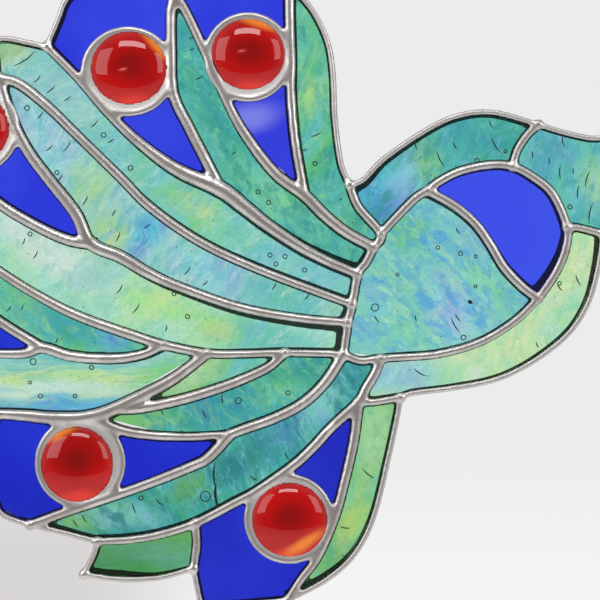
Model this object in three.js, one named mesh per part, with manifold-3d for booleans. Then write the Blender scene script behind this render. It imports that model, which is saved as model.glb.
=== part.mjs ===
// A leaded-look suncatcher: a peacock seen from the side, its tail spread up and to the left.
// Panes of 3 mm glass and domed glass nuggets sit in one web of solder, as in copper-foil work:
// every pane's edge lies in a groove, under a rounded bead of solder on the front and the back.
// It hangs from one wire ring soldered to its top, so the origin is inside the top of that ring.
//
// The pattern is drawn flat, in millimetres: x to the right, y up, z towards the viewer.
// The last lines stand it up, so that the part has +Z up and its front towards -Y.

import * as THREE from 'three';
import { ParametricGeometry } from 'three/addons/geometries/ParametricGeometry.js';
import { mergeVertices } from 'three/addons/utils/BufferGeometryUtils.js';
import Module from 'manifold-3d';

const wasm = await Module();
wasm.setup();

// ---- driving sizes -------------------------------------------------------------------------

const GLASS = 3.0;          // thickness of the sheet glass
const GAP = 0.3;            // clearance between any two pieces
const BEAD = 1.6;           // half the width of a solder bead between two panes
const BORDER = 1.1;         // half the width of the bead round the outside
const BEAD_RISE = 0.8;      // height of a bead's ridge above its edges
const LIP = 0.8;            // how far a bead laps over a pane
const BORDER_LIP = 0.6;     // the same on the outside bead
const COLLAR_LIP = 0.7;     // the same on the collar round a nugget
const FACET = 0.6;          // how far a straight step may cut inside a seam's curve

const HALF_GROOVE = GLASS / 2 + GAP;
const SHOULDER = HALF_GROOVE - 0.1;         // where a bead's upright sides end
const RIDGE = HALF_GROOVE + BEAD_RISE;
const BEAD_SECTION = [                      // share of the half width to the side, height in mm
  [1, -SHOULDER],
  [1, SHOULDER],
  [0, RIDGE],
  [-1, SHOULDER],
  [-1, -SHOULDER],
  [0, -RIDGE],
];
const RUN_ON = 0.2;         // how far a seam's flat shape runs past its ends
const FINE_STEPS = 60;      // steps in which a seam's bends are measured
const SHEET = 400;          // a sheet larger than the pattern, from which the panes are cut

const RING_WIRE = 0.8;      // radius of the ring's wire
const RING_INSIDE = 4.0;    // radius inside the ring
const RING_SIDES = 14;
const WIRE_SIDES = 6;
const LUMP = 2.9;           // radius of the solder lump that holds the ring
const LUMP_SIDES = 12;

const NUGGET_SIDES = 12;
const COLLAR_SIDES = 16;

// ---- where the seams meet ------------------------------------------------------------------

const AT = {
  // the outline of the tail, from the notch above the back, anticlockwise
  backNotch: [16.5, 38.5],
  firstTip: [-3.5, 104],
  ringFoot: [-33.4, 107.5],     // above the centre of mass, so that the part hangs level
  secondTip: [-41.5, 102],
  capFoot: [-84.5, 84.5],
  thirdTip: [-102.5, 86],
  fourthTip: [-100.5, 74],
  fifthFoot: [-134, 61],
  sixthTip: [-142.5, 40.5],
  sixthFoot: [-134.5, 26.5],
  seventhFoot: [-150, -22.5],
  seventhTip: [-155.5, -27.5],
  lowerCapTop: [-101, -38],
  lowerCapFoot: [-90, -75],
  cornerTop: [-67.5, -80.5],
  cornerTip: [-72, -91.5],
  cornerFoot: [-35.5, -89.5],
  lastCapCorner: [-33, -102],
  lastTip: [-4, -100],
  lastHead: [33.5, -32.5],
  // joints inside the tail
  second: [1.5, 35],
  third: [-26.5, 37],
  fourth: [-70, 19],
  fifth: [-67, 18.5],
  sixth: [-45.5, -15],
  seventh: [-86, -16],
  eighth: [-31, -17.8],
  ninth: [-5, -17.6],
  lens: [-62, -36.3],
  lensTail: [-70.5, -39],
  wedge: [-23.3, -44.8],
  cornerRoot: [-35, -74.5],
  last: [19.5, -34],
  // the line where the tail meets the body
  rump: [27, 22],
  rumpOne: [24.6, 17.6],
  rumpTwo: [19.3, 8.7],
  rumpThree: [17.4, -1.5],
  rumpFour: [16, -7.5],
  vent: [14.5, -18],
  keel: [27, -19.5],
  // back, wing, neck and breast
  shoulder: [42.5, 36.5],
  nape: [71, 44.5],
  napeTop: [79.5, 58.5],
  crop: [89, 24.5],
  wingTip: [79.5, 0.5],
  throat: [101, 22],
  // head
  hindHead: [116.5, 79.5],
  chin: [124.5, 77],
  beakTop: [130.5, 89.5],
  beakLow: [129.5, 83],
  crestBack: [117.2, 93.8],
  crestFront: [122.3, 95.6],
};

// ---- nuggets: middle, half width and half height, and the collar of solder round each --------

const NUGGETS = [
  { name: 'nugget_top_left', at: [-57, 77.4], half: [13, 12.4], collar: [-57.3, 76.2, 16, 15.2] },
  { name: 'nugget_top', at: [-17.3, 82], half: [12.6, 12.1], collar: [-17.3, 81, 15, 15.2] },
  { name: 'nugget_upper_left', at: [-109, 57.4], half: [12.4, 12.2], collar: [-108.7, 57.3, 15.5, 15.5] },
  { name: 'nugget_lower_left', at: [-126, -4], half: [12.5, 12.5], collar: [-126, -4, 15.2, 15.2] },
  { name: 'nugget_bottom_left', at: [-74.4, -54.8], half: [12.3, 12.8], collar: [-73.3, -54.2, 15.4, 15.5] },
  { name: 'nugget_bottom', at: [-3.4, -73.3], half: [12.9, 12.6], collar: [-3.7, -73, 15.2, 15.2] },
];

// ---- the seams -------------------------------------------------------------------------------
// Each seam is a smooth curve through a few points. A name stands for the joint of that name, and
// half is half the bead's width, or a list of half widths that the bead takes along its length.

const SEAMS = [];

function seam(half, ...route) {
  SEAMS.push({
    route: route.map((stop) => new THREE.Vector2(...(AT[stop] ?? stop))),
    joints: route.flatMap((stop, i) => (AT[stop] ? [i] : [])),
    halves: [half].flat(),
    lip: half === BORDER ? BORDER_LIP : LIP,
  });
}

function border(...route) {
  seam(BORDER, ...route);
}

// points on a round cap, between two directions in degrees
function arc([x, y], radius, start, end, count) {
  return Array.from({ length: count }, (_, i) => {
    const turn = THREE.MathUtils.degToRad(start + (end - start) * i / (count - 1));
    return [x + radius * Math.cos(turn), y + radius * Math.sin(turn)];
  });
}

function tailOutline() {
  border('backNotch', [13.5, 46], [11.5, 61.5], [11, 74.5], [9.5, 85], [6, 93.5], [1.5, 100], 'firstTip');
  border('firstTip', ...arc(NUGGETS[1].collar, 31, 66, 124, 4), 'secondTip');
  border('secondTip', ...arc(NUGGETS[0].collar, 32, 76, 122, 4), [-78.3, 99.7], [-80.8, 93.3], 'capFoot');
  border('capFoot', [-91.5, 86], [-98, 87.2], 'thirdTip', [-103.6, 80.5], 'fourthTip');
  border('fourthTip', ...arc(NUGGETS[2].collar, 31, 80, 162, 5), 'fifthFoot');
  border('fifthFoot', [-140, 66.5], [-147, 67.5], [-153, 63.5], [-154.5, 56], [-151, 48], 'sixthTip');
  border('sixthTip', [-139.5, 33], 'sixthFoot');
  border('sixthFoot', ...arc(NUGGETS[3].collar, 30, 122, 205, 5), 'seventhFoot');
  border('seventhFoot', 'seventhTip');
  border('seventhTip', [-153, -31.5], [-140, -33.5], [-120, -36.5], 'lowerCapTop');
  border('lowerCapTop', ...arc(NUGGETS[4].at, 30, 158, 214, 5), 'lowerCapFoot');
  border('lowerCapFoot', [-80, -77.3], [-73.5, -79], 'cornerTop');
  border('cornerTop', [-68.8, -85], 'cornerTip');
  border('cornerTip', [-60, -93.1], [-47, -92.6], 'cornerFoot');
  border('cornerFoot', [-34.5, -95], 'lastCapCorner');
  border('lastCapCorner', [-20, -101.5], 'lastTip');
  border('lastTip', [8.5, -93.5], [18, -85], [24.5, -72.5], [29.5, -52.5], [32.5, -38.5], 'lastHead');
}

function feathersAbove() {
  seam([1.8, BEAD, BEAD], 'firstTip', [-3.5, 95], [-3, 80], [-3, 68], [-1.5, 52], 'second');
  seam([BEAD, BEAD, 2.1, 1.8],
    'secondTip', [-37.5, 95], [-32, 83.3], [-24.5, 66.5], [-18.5, 55.5], [-8.5, 42.5], 'second',
    [8, 28.5], [15.5, 22.5], 'rumpOne');
  seam([1.8, 1.8, 1.9], 'secondTip', [-43, 96], [-43, 83], [-42.3, 69], [-37, 57.5], [-31.5, 46.8], 'third');
  seam([1.4, BEAD, 2.8, 2, BEAD],
    'capFoot', [-74.5, 74.5], [-64.5, 63], [-53.5, 52.5], [-41, 43.5], 'third',
    [-18.5, 31], [-11.5, 25.5], [-1, 18.4], [8.5, 13.3], 'rumpTwo');
  seam([1.9, BEAD, BEAD, 1.4],
    'fourthTip', [-93.5, 72], [-83.5, 64], [-75, 55.7], [-60, 41], [-50, 31], [-33.5, 19.5], [-13.3, 10],
    'rumpThree');
}

function feathersLeft() {
  seam([1.9, 2, 2.3, BEAD, 1.5],
    'fourthTip', [-96.5, 61], [-91, 50], [-84, 40.5], [-75, 29], 'fourth',
    [-60, 14.5], [-50, 8.7], [-40, 4.3], [-20, -2.5], [0, -6.1], 'rumpFour');
  seam([BEAD, 1.9], 'fifthFoot', [-120, 49.3], [-113.5, 43.8], [-100, 32], [-86.5, 24], [-76.5, 19.8], 'fifth');
  seam([1.5, BEAD, 1.8, 1.4, 1.3],
    'sixthTip', [-120, 24], [-100, 9.4], [-86.5, 1], [-73.5, -5.5], [-57, -11.4], 'sixth', 'eighth',
    [-18, -18], 'ninth', 'vent');
  seam([1.5, 1.8], 'sixthTip', [-133.5, 23.5], [-121, 9.5], [-107, -2.3], [-96.5, -9.6], 'seventh');
  seam([1.3, 1.4, 2, 1.8, 1.4],
    'seventhFoot', [-133.5, -17.8], [-113.5, -17.4], [-93.5, -18], 'seventh', [-76.5, -18.7], [-63, -19.6],
    [-52.5, -18.1], 'sixth');
}

function feathersBelow() {
  seam([1.7, 2.4, 2.2, 1.8],
    'lowerCapTop', [-93.5, -38.4], [-80, -39.5], 'lensTail', 'lens', [-50, -30.5], [-41.5, -25.7], 'eighth');
  seam([2, 1.5], 'lens', [-53.5, -36], [-40, -33.3], [-26.7, -29.3], [-16.5, -25.3], [-10, -22], 'ninth');
  seam([1.9, 1.7], 'vent', [8.5, -27.3], [1, -34.4], [-8.5, -39.4], [-18.5, -43], 'wedge');
  seam([1.8, 1.3], 'lensTail', [-60, -43.4], [-50, -45.1], [-38, -45.6], [-29, -45.2], 'wedge');
  seam([1.9, BEAD], 'wedge', [-30.5, -52.5], [-36.5, -55.6], [-50, -61], [-64, -66], [-77.5, -70.5], 'lowerCapFoot');
  seam([1.7, 1.8, BEAD, 1.4],
    'keel', [25, -24.5], [22, -29.5], 'last', [10.5, -42.5], [4.5, -49], [-2.3, -55.3], [-14.3, -63.7],
    [-22.7, -68.2], 'cornerRoot', [-46.5, -78.2], [-57, -80], 'cornerTop');
  seam(1.5, 'cornerRoot', [-34.5, -81.5], 'cornerFoot');
  seam(1.3, 'last', [25, -34], 'lastHead');
  seam([1.8, 1.4], 'last', [18, -46.5], [15, -60], [11.6, -72.5], [6, -85.5], [0, -93.7], 'lastTip');
}

function bodySeams() {
  border('backNotch', [21, 40], [28.5, 47.5], [43.5, 57.5], [54, 61.8], [65, 62.5], 'napeTop');
  seam(1.5, 'backNotch', [19.5, 31], 'rump', 'rumpOne', [22, 12.5], 'rumpTwo', 'rumpThree', 'rumpFour', 'vent');
  seam(1.5, 'rump', [32.7, 28.2], [38.5, 34], 'shoulder', [46.5, 39.5], [53.5, 43], [63, 45], 'nape',
    [78.5, 40.5], [84.5, 35], 'crop', [88.7, 17.5], [85.5, 9.5], 'wingTip');
  seam(BEAD, 'shoulder', [51.5, 31.5], [58.5, 25.5], [63.5, 18.5], [68, 11], [74, 4.5], 'wingTip');
  seam(1.4, 'vent', [20, -20.2], 'keel', [35, -19], [46.5, -18], [60, -14.1], [71.5, -7.2], 'wingTip');
  seam(1.4, 'nape', [72.5, 50], [76, 55.3], 'napeTop');
  seam(1.3, 'crop', [93.5, 24], 'throat');
  border('lastHead', [38, -31], [50, -29.5], [63.5, -27], [73.5, -23], [83.5, -16.5], [91, -9.5], [96.5, 0],
    [99.7, 12], 'throat');
}

function neckAndHead() {
  border('napeTop', [90, 55.4], [100, 54], [109, 58], [114, 68], 'hindHead');
  border('throat', [104, 26.5], [109.5, 33.5], [115.5, 44], [120.5, 58], 'chin');
  seam(1.4, 'hindHead', 'chin');
  border('hindHead', [114, 86], 'crestBack');
  border('crestFront', [127.5, 94], 'beakTop');
  border('chin', 'beakLow');
  seam(1.3, 'beakTop', 'beakLow');
  border('beakTop', [136, 87.4], [139.5, 84.2], [135, 83], 'beakLow');
  seam(1.3, 'crestBack', 'crestFront');
  border('crestBack', [113.5, 101], [111, 107.5], [117, 110.8], [123.8, 109.5], [123.8, 102], 'crestFront');
}

tailOutline();
feathersAbove();
feathersLeft();
feathersBelow();
bodySeams();
neckAndHead();

// ---- solids ------------------------------------------------------------------------------------

function toSolid(geometry) {
  const bare = geometry.clone();
  bare.deleteAttribute('normal');
  bare.deleteAttribute('uv');
  const merged = mergeVertices(bare, 1e-4);
  return new wasm.Manifold(new wasm.Mesh({
    numProp: 3,
    vertProperties: new Float32Array(merged.attributes.position.array),
    triVerts: new Uint32Array(merged.index.array),
  }));
}

function toGeometry(solid) {
  const mesh = solid.getMesh();
  const geometry = new THREE.BufferGeometry();
  geometry.setAttribute('position', new THREE.BufferAttribute(new Float32Array(mesh.vertProperties), 3));
  geometry.setIndex(new THREE.BufferAttribute(new Uint32Array(mesh.triVerts), 1));
  return geometry;
}

// steps for a stretch of curve, as many as its length and its bends need
function stepsFor(stretch) {
  let length = 0;
  let bend = 0;
  for (let i = 1; i < stretch.length; i += 1) {
    const here = stretch[i].clone().sub(stretch[i - 1]);
    length += here.length();
    if (i > 1) {
      const turn = here.angle() - stretch[i - 1].clone().sub(stretch[i - 2]).angle();
      bend += Math.abs(Math.atan2(Math.sin(turn), Math.cos(turn)));
    }
  }
  return Math.max(1, Math.round(Math.sqrt(length * bend / 8 / FACET)));
}

// a seam's centre line as points with their share of its length, and one point at every joint
function centreLine({ route, joints }) {
  const curve = new THREE.SplineCurve(route);
  const sample = (from, to, count) => Array.from({ length: count }, (_, i) => {
    const share = (from + (to - from) * (i + 1) / count) / (route.length - 1);
    return Object.assign(curve.getPoint(share), { share });
  });
  const points = [Object.assign(route[0].clone(), { share: 0 })];
  for (let j = 1; j < joints.length; j += 1) {
    const [from, to] = [joints[j - 1], joints[j]];
    points.push(...sample(from, to, stepsFor(sample(from, to, FINE_STEPS))));
  }
  return points;
}

// half the bead's width at a share of its length
function halfWidth({ halves }, share) {
  const place = share * (halves.length - 1);
  const before = Math.min(Math.floor(place), Math.max(halves.length - 2, 0));
  const after = Math.min(before + 1, halves.length - 1);
  return halves[before] + (halves[after] - halves[before]) * (place - before);
}

// from a point of a centre line to the edge of its bead, less a margin
function toEdge(line, points, i, margin) {
  const before = points[Math.max(i - 1, 0)];
  const after = points[Math.min(i + 1, points.length - 1)];
  const along = after.clone().sub(before).normalize();
  const reach = halfWidth(line, points[i].share) - margin;
  return new THREE.Vector2(-along.y, along.x).multiplyScalar(reach);
}

// a solder bead: upright at the panes' edges, then rising to a ridge on the front and the back
function bead(line) {
  const points = centreLine(line);
  const rows = points.length + 2;
  const surface = (u, v, target) => {
    const [side, height] = BEAD_SECTION[Math.round(u * BEAD_SECTION.length) % BEAD_SECTION.length];
    const row = Math.round(v * (rows - 1)) - 1;
    const i = THREE.MathUtils.clamp(row, 0, points.length - 1);
    const edge = toEdge(line, points, i, 0);
    if (row === i) {
      target.set(points[i].x + side * edge.x, points[i].y + side * edge.y, height);
    } else {
      target.set(points[i].x, points[i].y, 0);
    }
  };
  return toSolid(new ParametricGeometry(surface, BEAD_SECTION.length, rows - 1));
}

// the flat shape of a seam: its centre line, run on a little, widened to both sides less a margin
function ribbon(line, margin) {
  const points = centreLine(line);
  const last = points.length - 1;
  points[0].add(points[0].clone().sub(points[1]).setLength(RUN_ON));
  points[last].add(points[last].clone().sub(points[last - 1]).setLength(RUN_ON));
  const edges = points.map((_, i) => toEdge(line, points, i, margin));
  const left = points.map((point, i) => point.clone().add(edges[i]));
  const right = points.map((point, i) => point.clone().sub(edges[i])).reverse();
  return new THREE.Shape([...right, ...left]);
}

// a flat shape made thick, even about the glass's middle plane
function slab(shape, halfDepth) {
  const geometry = new THREE.ExtrudeGeometry(shape, { depth: 2 * halfDepth, bevelEnabled: false });
  return toSolid(geometry.translate(0, 0, -halfDepth));
}

function ellipse([x, y, halfWidth, halfHeight], inset, sides = COLLAR_SIDES) {
  const outline = new THREE.EllipseCurve(x, y, halfWidth - inset, halfHeight - inset);
  return new THREE.Shape(outline.getPoints(sides).slice(0, sides));
}

// the flat collar of solder round a nugget, chamfered at its rim
function collar(nugget) {
  const geometry = new THREE.ExtrudeGeometry(ellipse(nugget.collar, 0), {
    depth: 2 * SHOULDER,
    bevelThickness: BEAD_RISE,
    bevelSize: 1,
    bevelOffset: -1,
    bevelSegments: 1,
  });
  return toSolid(geometry.translate(0, 0, -SHOULDER));
}

// the side view of a nugget from its flat back to the top of its dome, grown by a clearance
function nuggetProfile(grow) {
  return [
    [0, -GLASS / 2 - grow],
    [0.84, -GLASS / 2 - grow],
    [0.97, -0.6 - grow],
    [1, 0.6],
    [0.95, 2 + grow],
    [0.78, 3.5 + grow],
    [0.45, 4.6 + grow],
    [0, 5 + grow],
  ];
}

function nuggetSolid({ at, half }, grow) {
  const points = nuggetProfile(grow).map(([r, z]) => new THREE.Vector2(r && r + grow / half[0], z));
  const dome = new THREE.LatheGeometry(points, NUGGET_SIDES);
  dome.rotateX(Math.PI / 2);
  dome.scale(half[0], half[1], 1);
  return toSolid(dome.translate(at[0], at[1], 0));
}

// the round window behind a nugget, through the back of its collar
function backWindow({ at, half }) {
  const shape = ellipse([...at, half[0] * 0.74, half[1] * 0.74], 0, NUGGET_SIDES);
  const geometry = new THREE.ExtrudeGeometry(shape, { depth: 4, bevelEnabled: false });
  return toSolid(geometry.translate(0, 0, -5));
}

// everything inside the pattern that is not seam: one flat solid per opening in the web
function openings(halfDepth, extra) {
  const sheet = slab(new THREE.Shape([
    new THREE.Vector2(-SHEET / 2, -SHEET / 2),
    new THREE.Vector2(SHEET / 2, -SHEET / 2),
    new THREE.Vector2(SHEET / 2, SHEET / 2),
    new THREE.Vector2(-SHEET / 2, SHEET / 2),
  ]), halfDepth);
  const lines = SEAMS.map((line) => slab(ribbon(line, line.lip + extra), 2 * halfDepth));
  const discs = NUGGETS.map((nugget) => slab(ellipse(nugget.collar, COLLAR_LIP + extra), 2 * halfDepth));
  return sheet.subtract(wasm.Manifold.union([...lines, ...discs])).decompose();
}

function holds(solid, [x, y]) {
  const probe = slab(ellipse([x, y, 0.5, 0.5], 0, 6), 1);
  return solid.intersect(probe).volume() > 0.1;
}

// ---- panes: name, a point inside, and the glass ---------------------------------------------------

const GLASSES = {
  cobalt: { color: 0x2233d8, roughness: 0.1 },
  teal: { color: 0x4fb0a4, roughness: 0.12 },
  deepTeal: { color: 0x3a9c94, roughness: 0.12 },
  sky: { color: 0x8fc8d4, roughness: 0.12 },
  pale: { color: 0xb5dcb4, roughness: 0.12 },
  green: { color: 0x86c878, roughness: 0.12 },
  amber: { color: 0xd89a2c, roughness: 0.12 },
};

const PANES = [
  ['feather_glass_01', [4, 60], 'teal'],
  ['feather_glass_02', [-30, 62], 'deepTeal'],
  ['feather_glass_03', [-60, 50], 'teal'],
  ['feather_glass_04', [-70, 38], 'sky'],
  ['feather_glass_05', [-70, 5], 'pale'],
  ['feather_glass_06', [-75, -12], 'deepTeal'],
  ['feather_glass_07', [-75, -28], 'sky'],
  ['feather_glass_08', [-30, -24], 'green'],
  ['feather_glass_09', [-20, -34], 'teal'],
  ['feather_glass_10', [-20, -58], 'deepTeal'],
  ['feather_glass_11', [22, -60], 'green'],
  ['tail_corner_glass', [-55, -88], 'green'],
  ['cap_glass_top', [-17.5, 104], 'cobalt'],
  ['cap_glass_top_left', [-75, 95], 'cobalt'],
  ['cap_glass_upper_left', [-118, 80], 'cobalt'],
  ['cap_glass_lower_left', [-149, -4], 'cobalt'],
  ['cap_glass_bottom_left', [-95, -55], 'cobalt'],
  ['cap_glass_bottom', [-22, -90], 'cobalt'],
  ['wedge_glass_top', [-10, 60], 'cobalt'],
  ['wedge_glass_top_left', [-45, 55], 'cobalt'],
  ['wedge_glass_upper_left', [-90, 35], 'cobalt'],
  ['wedge_glass_lower_left', [-104, -13], 'cobalt'],
  ['wedge_glass_bottom_left', [-45, -50], 'cobalt'],
  ['wedge_glass_bottom', [10, -52], 'cobalt'],
  ['back_glass', [45, 50], 'teal'],
  ['wing_glass', [75, 25], 'cobalt'],
  ['body_glass', [45, 5], 'teal'],
  ['breast_glass', [88, 0], 'pale'],
  ['neck_glass', [95, 40], 'teal'],
  ['head_glass', [122, 87], 'cobalt'],
  ['beak_glass', [134, 85.5], 'amber'],
  ['crest_glass', [118, 104], 'cobalt'],
];

function pick(cells, point, name) {
  const found = cells.filter((cell) => holds(cell, point));
  if (found.length !== 1 || found[0].taken) {
    throw new Error(`${name}: its opening is missing or runs into another one`);
  }
  found[0].taken = true;
  return found[0];
}

// ---- the hanging ring ------------------------------------------------------------------------------

const RING_MEAN = RING_INSIDE + RING_WIRE;
const RING_AT = [AT.ringFoot[0], AT.ringFoot[1] + RING_WIRE + RING_MEAN];

function ringSolid(grow) {
  const ring = new THREE.TorusGeometry(RING_MEAN, RING_WIRE + grow, WIRE_SIDES, RING_SIDES);
  return toSolid(ring.translate(RING_AT[0], RING_AT[1], 0));
}

function lump() {
  const ball = new THREE.SphereGeometry(LUMP, LUMP_SIDES, LUMP_SIDES / 2);
  return toSolid(ball.translate(...AT.ringFoot, 0));
}

// ---- the parts ----------------------------------------------------------------------------------------

const cells = openings(GLASS / 2, 0);
const grooves = openings(HALF_GROOVE, GAP);

function solderWeb() {
  const beads = SEAMS.map(bead);
  const collars = NUGGETS.map(collar);
  const metal = wasm.Manifold.union([...beads, ...collars, lump()]);
  const panes = PANES.map(([name, point]) => pick(grooves, point, name));
  const seats = NUGGETS.map((nugget) => nuggetSolid(nugget, GAP));
  const windows = NUGGETS.map(backWindow);
  return metal.subtract(wasm.Manifold.union([...panes, ...seats, ...windows, ringSolid(GAP)]));
}

function addMesh(group, name, solid, look) {
  const material = new THREE.MeshStandardMaterial({ metalness: 0, ...look });
  const mesh = new THREE.Mesh(toGeometry(solid), material);
  mesh.name = name;
  group.add(mesh);
}

const glassLook = (name) => ({ ...GLASSES[name], transparent: true, opacity: 0.6 });

const pattern = new THREE.Group();
addMesh(pattern, 'solder_web', solderWeb(), { color: 0xa9a4a0, roughness: 0.32, metalness: 1 });
addMesh(pattern, 'hanging_ring', ringSolid(0), { color: 0xb8b4b0, roughness: 0.25, metalness: 1 });
for (const [name, point, glass] of PANES) {
  addMesh(pattern, name, pick(cells, point, name), glassLook(glass));
}
for (const nugget of NUGGETS) {
  addMesh(pattern, nugget.name, nuggetSolid(nugget, 0), { color: 0xb80808, roughness: 0.05 });
}

// stood upright, with the inside top of the ring at the origin
pattern.rotation.x = Math.PI / 2;
pattern.position.set(-RING_AT[0], 0, -(RING_AT[1] + RING_INSIDE));

const group = new THREE.Group();
group.add(pattern);
export default group;
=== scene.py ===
# A peacock suncatcher in copper-foil work, dressed over its CAD solids: streaky and cobalt glass,
# red nuggets, black-backed foil, and solder run over every seam on the front and the back.
import bpy
import bmesh
import math
import random
from mathutils import Matrix, Vector


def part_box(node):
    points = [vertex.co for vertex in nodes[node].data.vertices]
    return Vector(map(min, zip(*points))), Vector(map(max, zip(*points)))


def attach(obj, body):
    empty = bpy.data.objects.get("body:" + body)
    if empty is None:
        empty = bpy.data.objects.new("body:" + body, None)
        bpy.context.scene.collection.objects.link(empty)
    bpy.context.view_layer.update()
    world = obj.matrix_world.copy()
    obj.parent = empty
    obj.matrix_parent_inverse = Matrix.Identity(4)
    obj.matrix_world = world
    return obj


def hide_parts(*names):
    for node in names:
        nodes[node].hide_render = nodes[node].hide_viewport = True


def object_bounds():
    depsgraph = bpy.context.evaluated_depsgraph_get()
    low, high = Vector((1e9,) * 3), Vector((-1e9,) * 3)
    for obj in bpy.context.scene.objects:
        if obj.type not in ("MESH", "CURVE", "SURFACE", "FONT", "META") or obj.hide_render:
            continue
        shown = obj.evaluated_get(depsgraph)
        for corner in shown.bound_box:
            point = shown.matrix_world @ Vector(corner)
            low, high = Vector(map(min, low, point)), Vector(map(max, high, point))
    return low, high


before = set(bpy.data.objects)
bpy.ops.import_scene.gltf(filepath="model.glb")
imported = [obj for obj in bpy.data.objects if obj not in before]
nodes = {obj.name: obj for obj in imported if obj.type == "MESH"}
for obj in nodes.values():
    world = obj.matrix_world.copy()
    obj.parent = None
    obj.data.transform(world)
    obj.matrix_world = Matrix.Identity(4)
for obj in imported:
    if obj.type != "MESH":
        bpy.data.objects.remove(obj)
cad_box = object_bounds()


# ---- The cut glass: sheets -----------------------------------------------------------
# Panes cut from 3 mm art glass. The feathers and the body are streaky glass, in which clear teal,
# green and blue were stirred with white and rolled out, so each pane shows its own run of colours.

MM = 0.001
GLASS = 3.0
NUGGET_TOP = (-17.3, 82.0)          # where the drawing has the middle of this nugget, in mm
low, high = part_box("nugget_top")
ZERO_X = (low.x + high.x) / 2 - NUGGET_TOP[0] * MM
ZERO_Z = (low.z + high.z) / 2 - NUGGET_TOP[1] * MM


def at(x, y, depth=0.0):
    """A point of the drawing, in mm, in the frame; depth runs from the middle plane to the back."""
    return Vector((ZERO_X + x * MM, depth * MM, ZERO_Z + y * MM))


def linear(value):
    """A colour channel from 0 to 255 as the renderer's linear one."""
    value /= 255
    return value / 12.92 if value < 0.04045 else ((value + 0.055) / 1.055) ** 2.4


BACKLIGHT = 0.84                    # how much of the light behind reaches the eye through clear glass


def seen(red, green, blue):
    """The glass colour that shows as this one against the light, from 0 to 255."""
    return (*[min(linear(c) / BACKLIGHT, 1.0) for c in (red, green, blue)], 1.0)


def painted(red, green, blue):
    """A surface colour from 0 to 255."""
    return (linear(red), linear(green), linear(blue), 1.0)


def group(name, inputs, outputs):
    """A shader node group with its two ends; inputs are (name, kind, value), outputs (name, kind)."""
    tree = bpy.data.node_groups.new(name, "ShaderNodeTree")
    for label, kind, value in inputs:
        socket = tree.interface.new_socket(label, in_out="INPUT", socket_type="NodeSocket" + kind)
        if value is not None:
            socket.default_value = value
    for label, kind in outputs:
        tree.interface.new_socket(label, in_out="OUTPUT", socket_type="NodeSocket" + kind)
    return tree, tree.nodes.new("NodeGroupInput"), tree.nodes.new("NodeGroupOutput")


def add(tree, kind, **settings):
    """A shader node with its settings."""
    node = tree.nodes.new("ShaderNode" + kind)
    for name, value in settings.items():
        setattr(node, name, value)
    return node


def feed(tree, node, **values):
    """Sets or links a node's inputs by name, with _ for a space."""
    for name, value in values.items():
        socket = node.inputs[name.replace("_", " ")]
        if isinstance(value, bpy.types.NodeSocket):
            tree.links.new(value, socket)
        else:
            socket.default_value = value
    return node


def joined(tree, node, *values):
    """Sets or links a node's first inputs in their order, and returns its first output."""
    for socket, value in zip(node.inputs, values):
        if isinstance(value, bpy.types.NodeSocket):
            tree.links.new(value, socket)
        else:
            socket.default_value = value
    return node.outputs[0]


def maths(tree, operation, *values):
    """A sum, product or other Math step of sockets and numbers."""
    return joined(tree, add(tree, "Math", operation=operation), *values)


def vectors(tree, operation, *values):
    """The same for vectors."""
    return joined(tree, add(tree, "VectorMath", operation=operation), *values)


def noise(tree, where, scale, detail=2.0, roughness=0.5, distortion=0.0):
    """A noise node at these points."""
    return feed(tree, add(tree, "TexNoise"), Vector=where, Scale=scale, Detail=detail, Roughness=roughness,
                Distortion=distortion)


def points_of(tree):
    """The Object coordinates, which on every piece are the frame's own."""
    return add(tree, "TexCoord").outputs["Object"]


def mixed(tree, factor, first, second, blend="MIX"):
    """A colour mix; returns its output socket."""
    node = add(tree, "Mix", data_type="RGBA", blend_type=blend)
    for place, value in ((0, factor), (6, first), (7, second)):
        if isinstance(value, bpy.types.NodeSocket):
            tree.links.new(value, node.inputs[place])
        else:
            node.inputs[place].default_value = value
    return node.outputs[2]


def ranged(tree, value, low_in, high_in, low_out=0.0, high_out=1.0, kind="SMOOTHSTEP"):
    """A value brought from one range to another, and kept inside it."""
    node = add(tree, "MapRange", interpolation_type=kind)
    feed(tree, node, Value=value, From_Min=low_in, From_Max=high_in, To_Min=low_out, To_Max=high_out)
    return node.outputs["Result"]


def place_group(tree, which, **values):
    """A node group in a tree, with its own values."""
    node = tree.nodes.new("ShaderNodeGroup")
    node.node_tree = which
    return feed(tree, node, **values)


# Points of the sheet, pushed about by the stirring, by up to the reach in mm.
stirred, ends_in, ends_out = group("stirred points", [("Reach", "Float", 6.0)], [("Point", "Vector")])
where = points_of(stirred)
swirl = noise(stirred, where, 38.0, 3.0, 0.55)
centred = vectors(stirred, "SUBTRACT", swirl.outputs["Color"], (0.5, 0.5, 0.5))
pushed = add(stirred, "VectorMath", operation="SCALE")
reach = maths(stirred, "MULTIPLY", ends_in.outputs["Reach"], 2 * MM)
feed(stirred, pushed, Vector=centred, Scale=reach)
moved = vectors(stirred, "ADD", where, pushed.outputs[0])
stirred.links.new(moved, ends_out.inputs["Point"])

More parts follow.
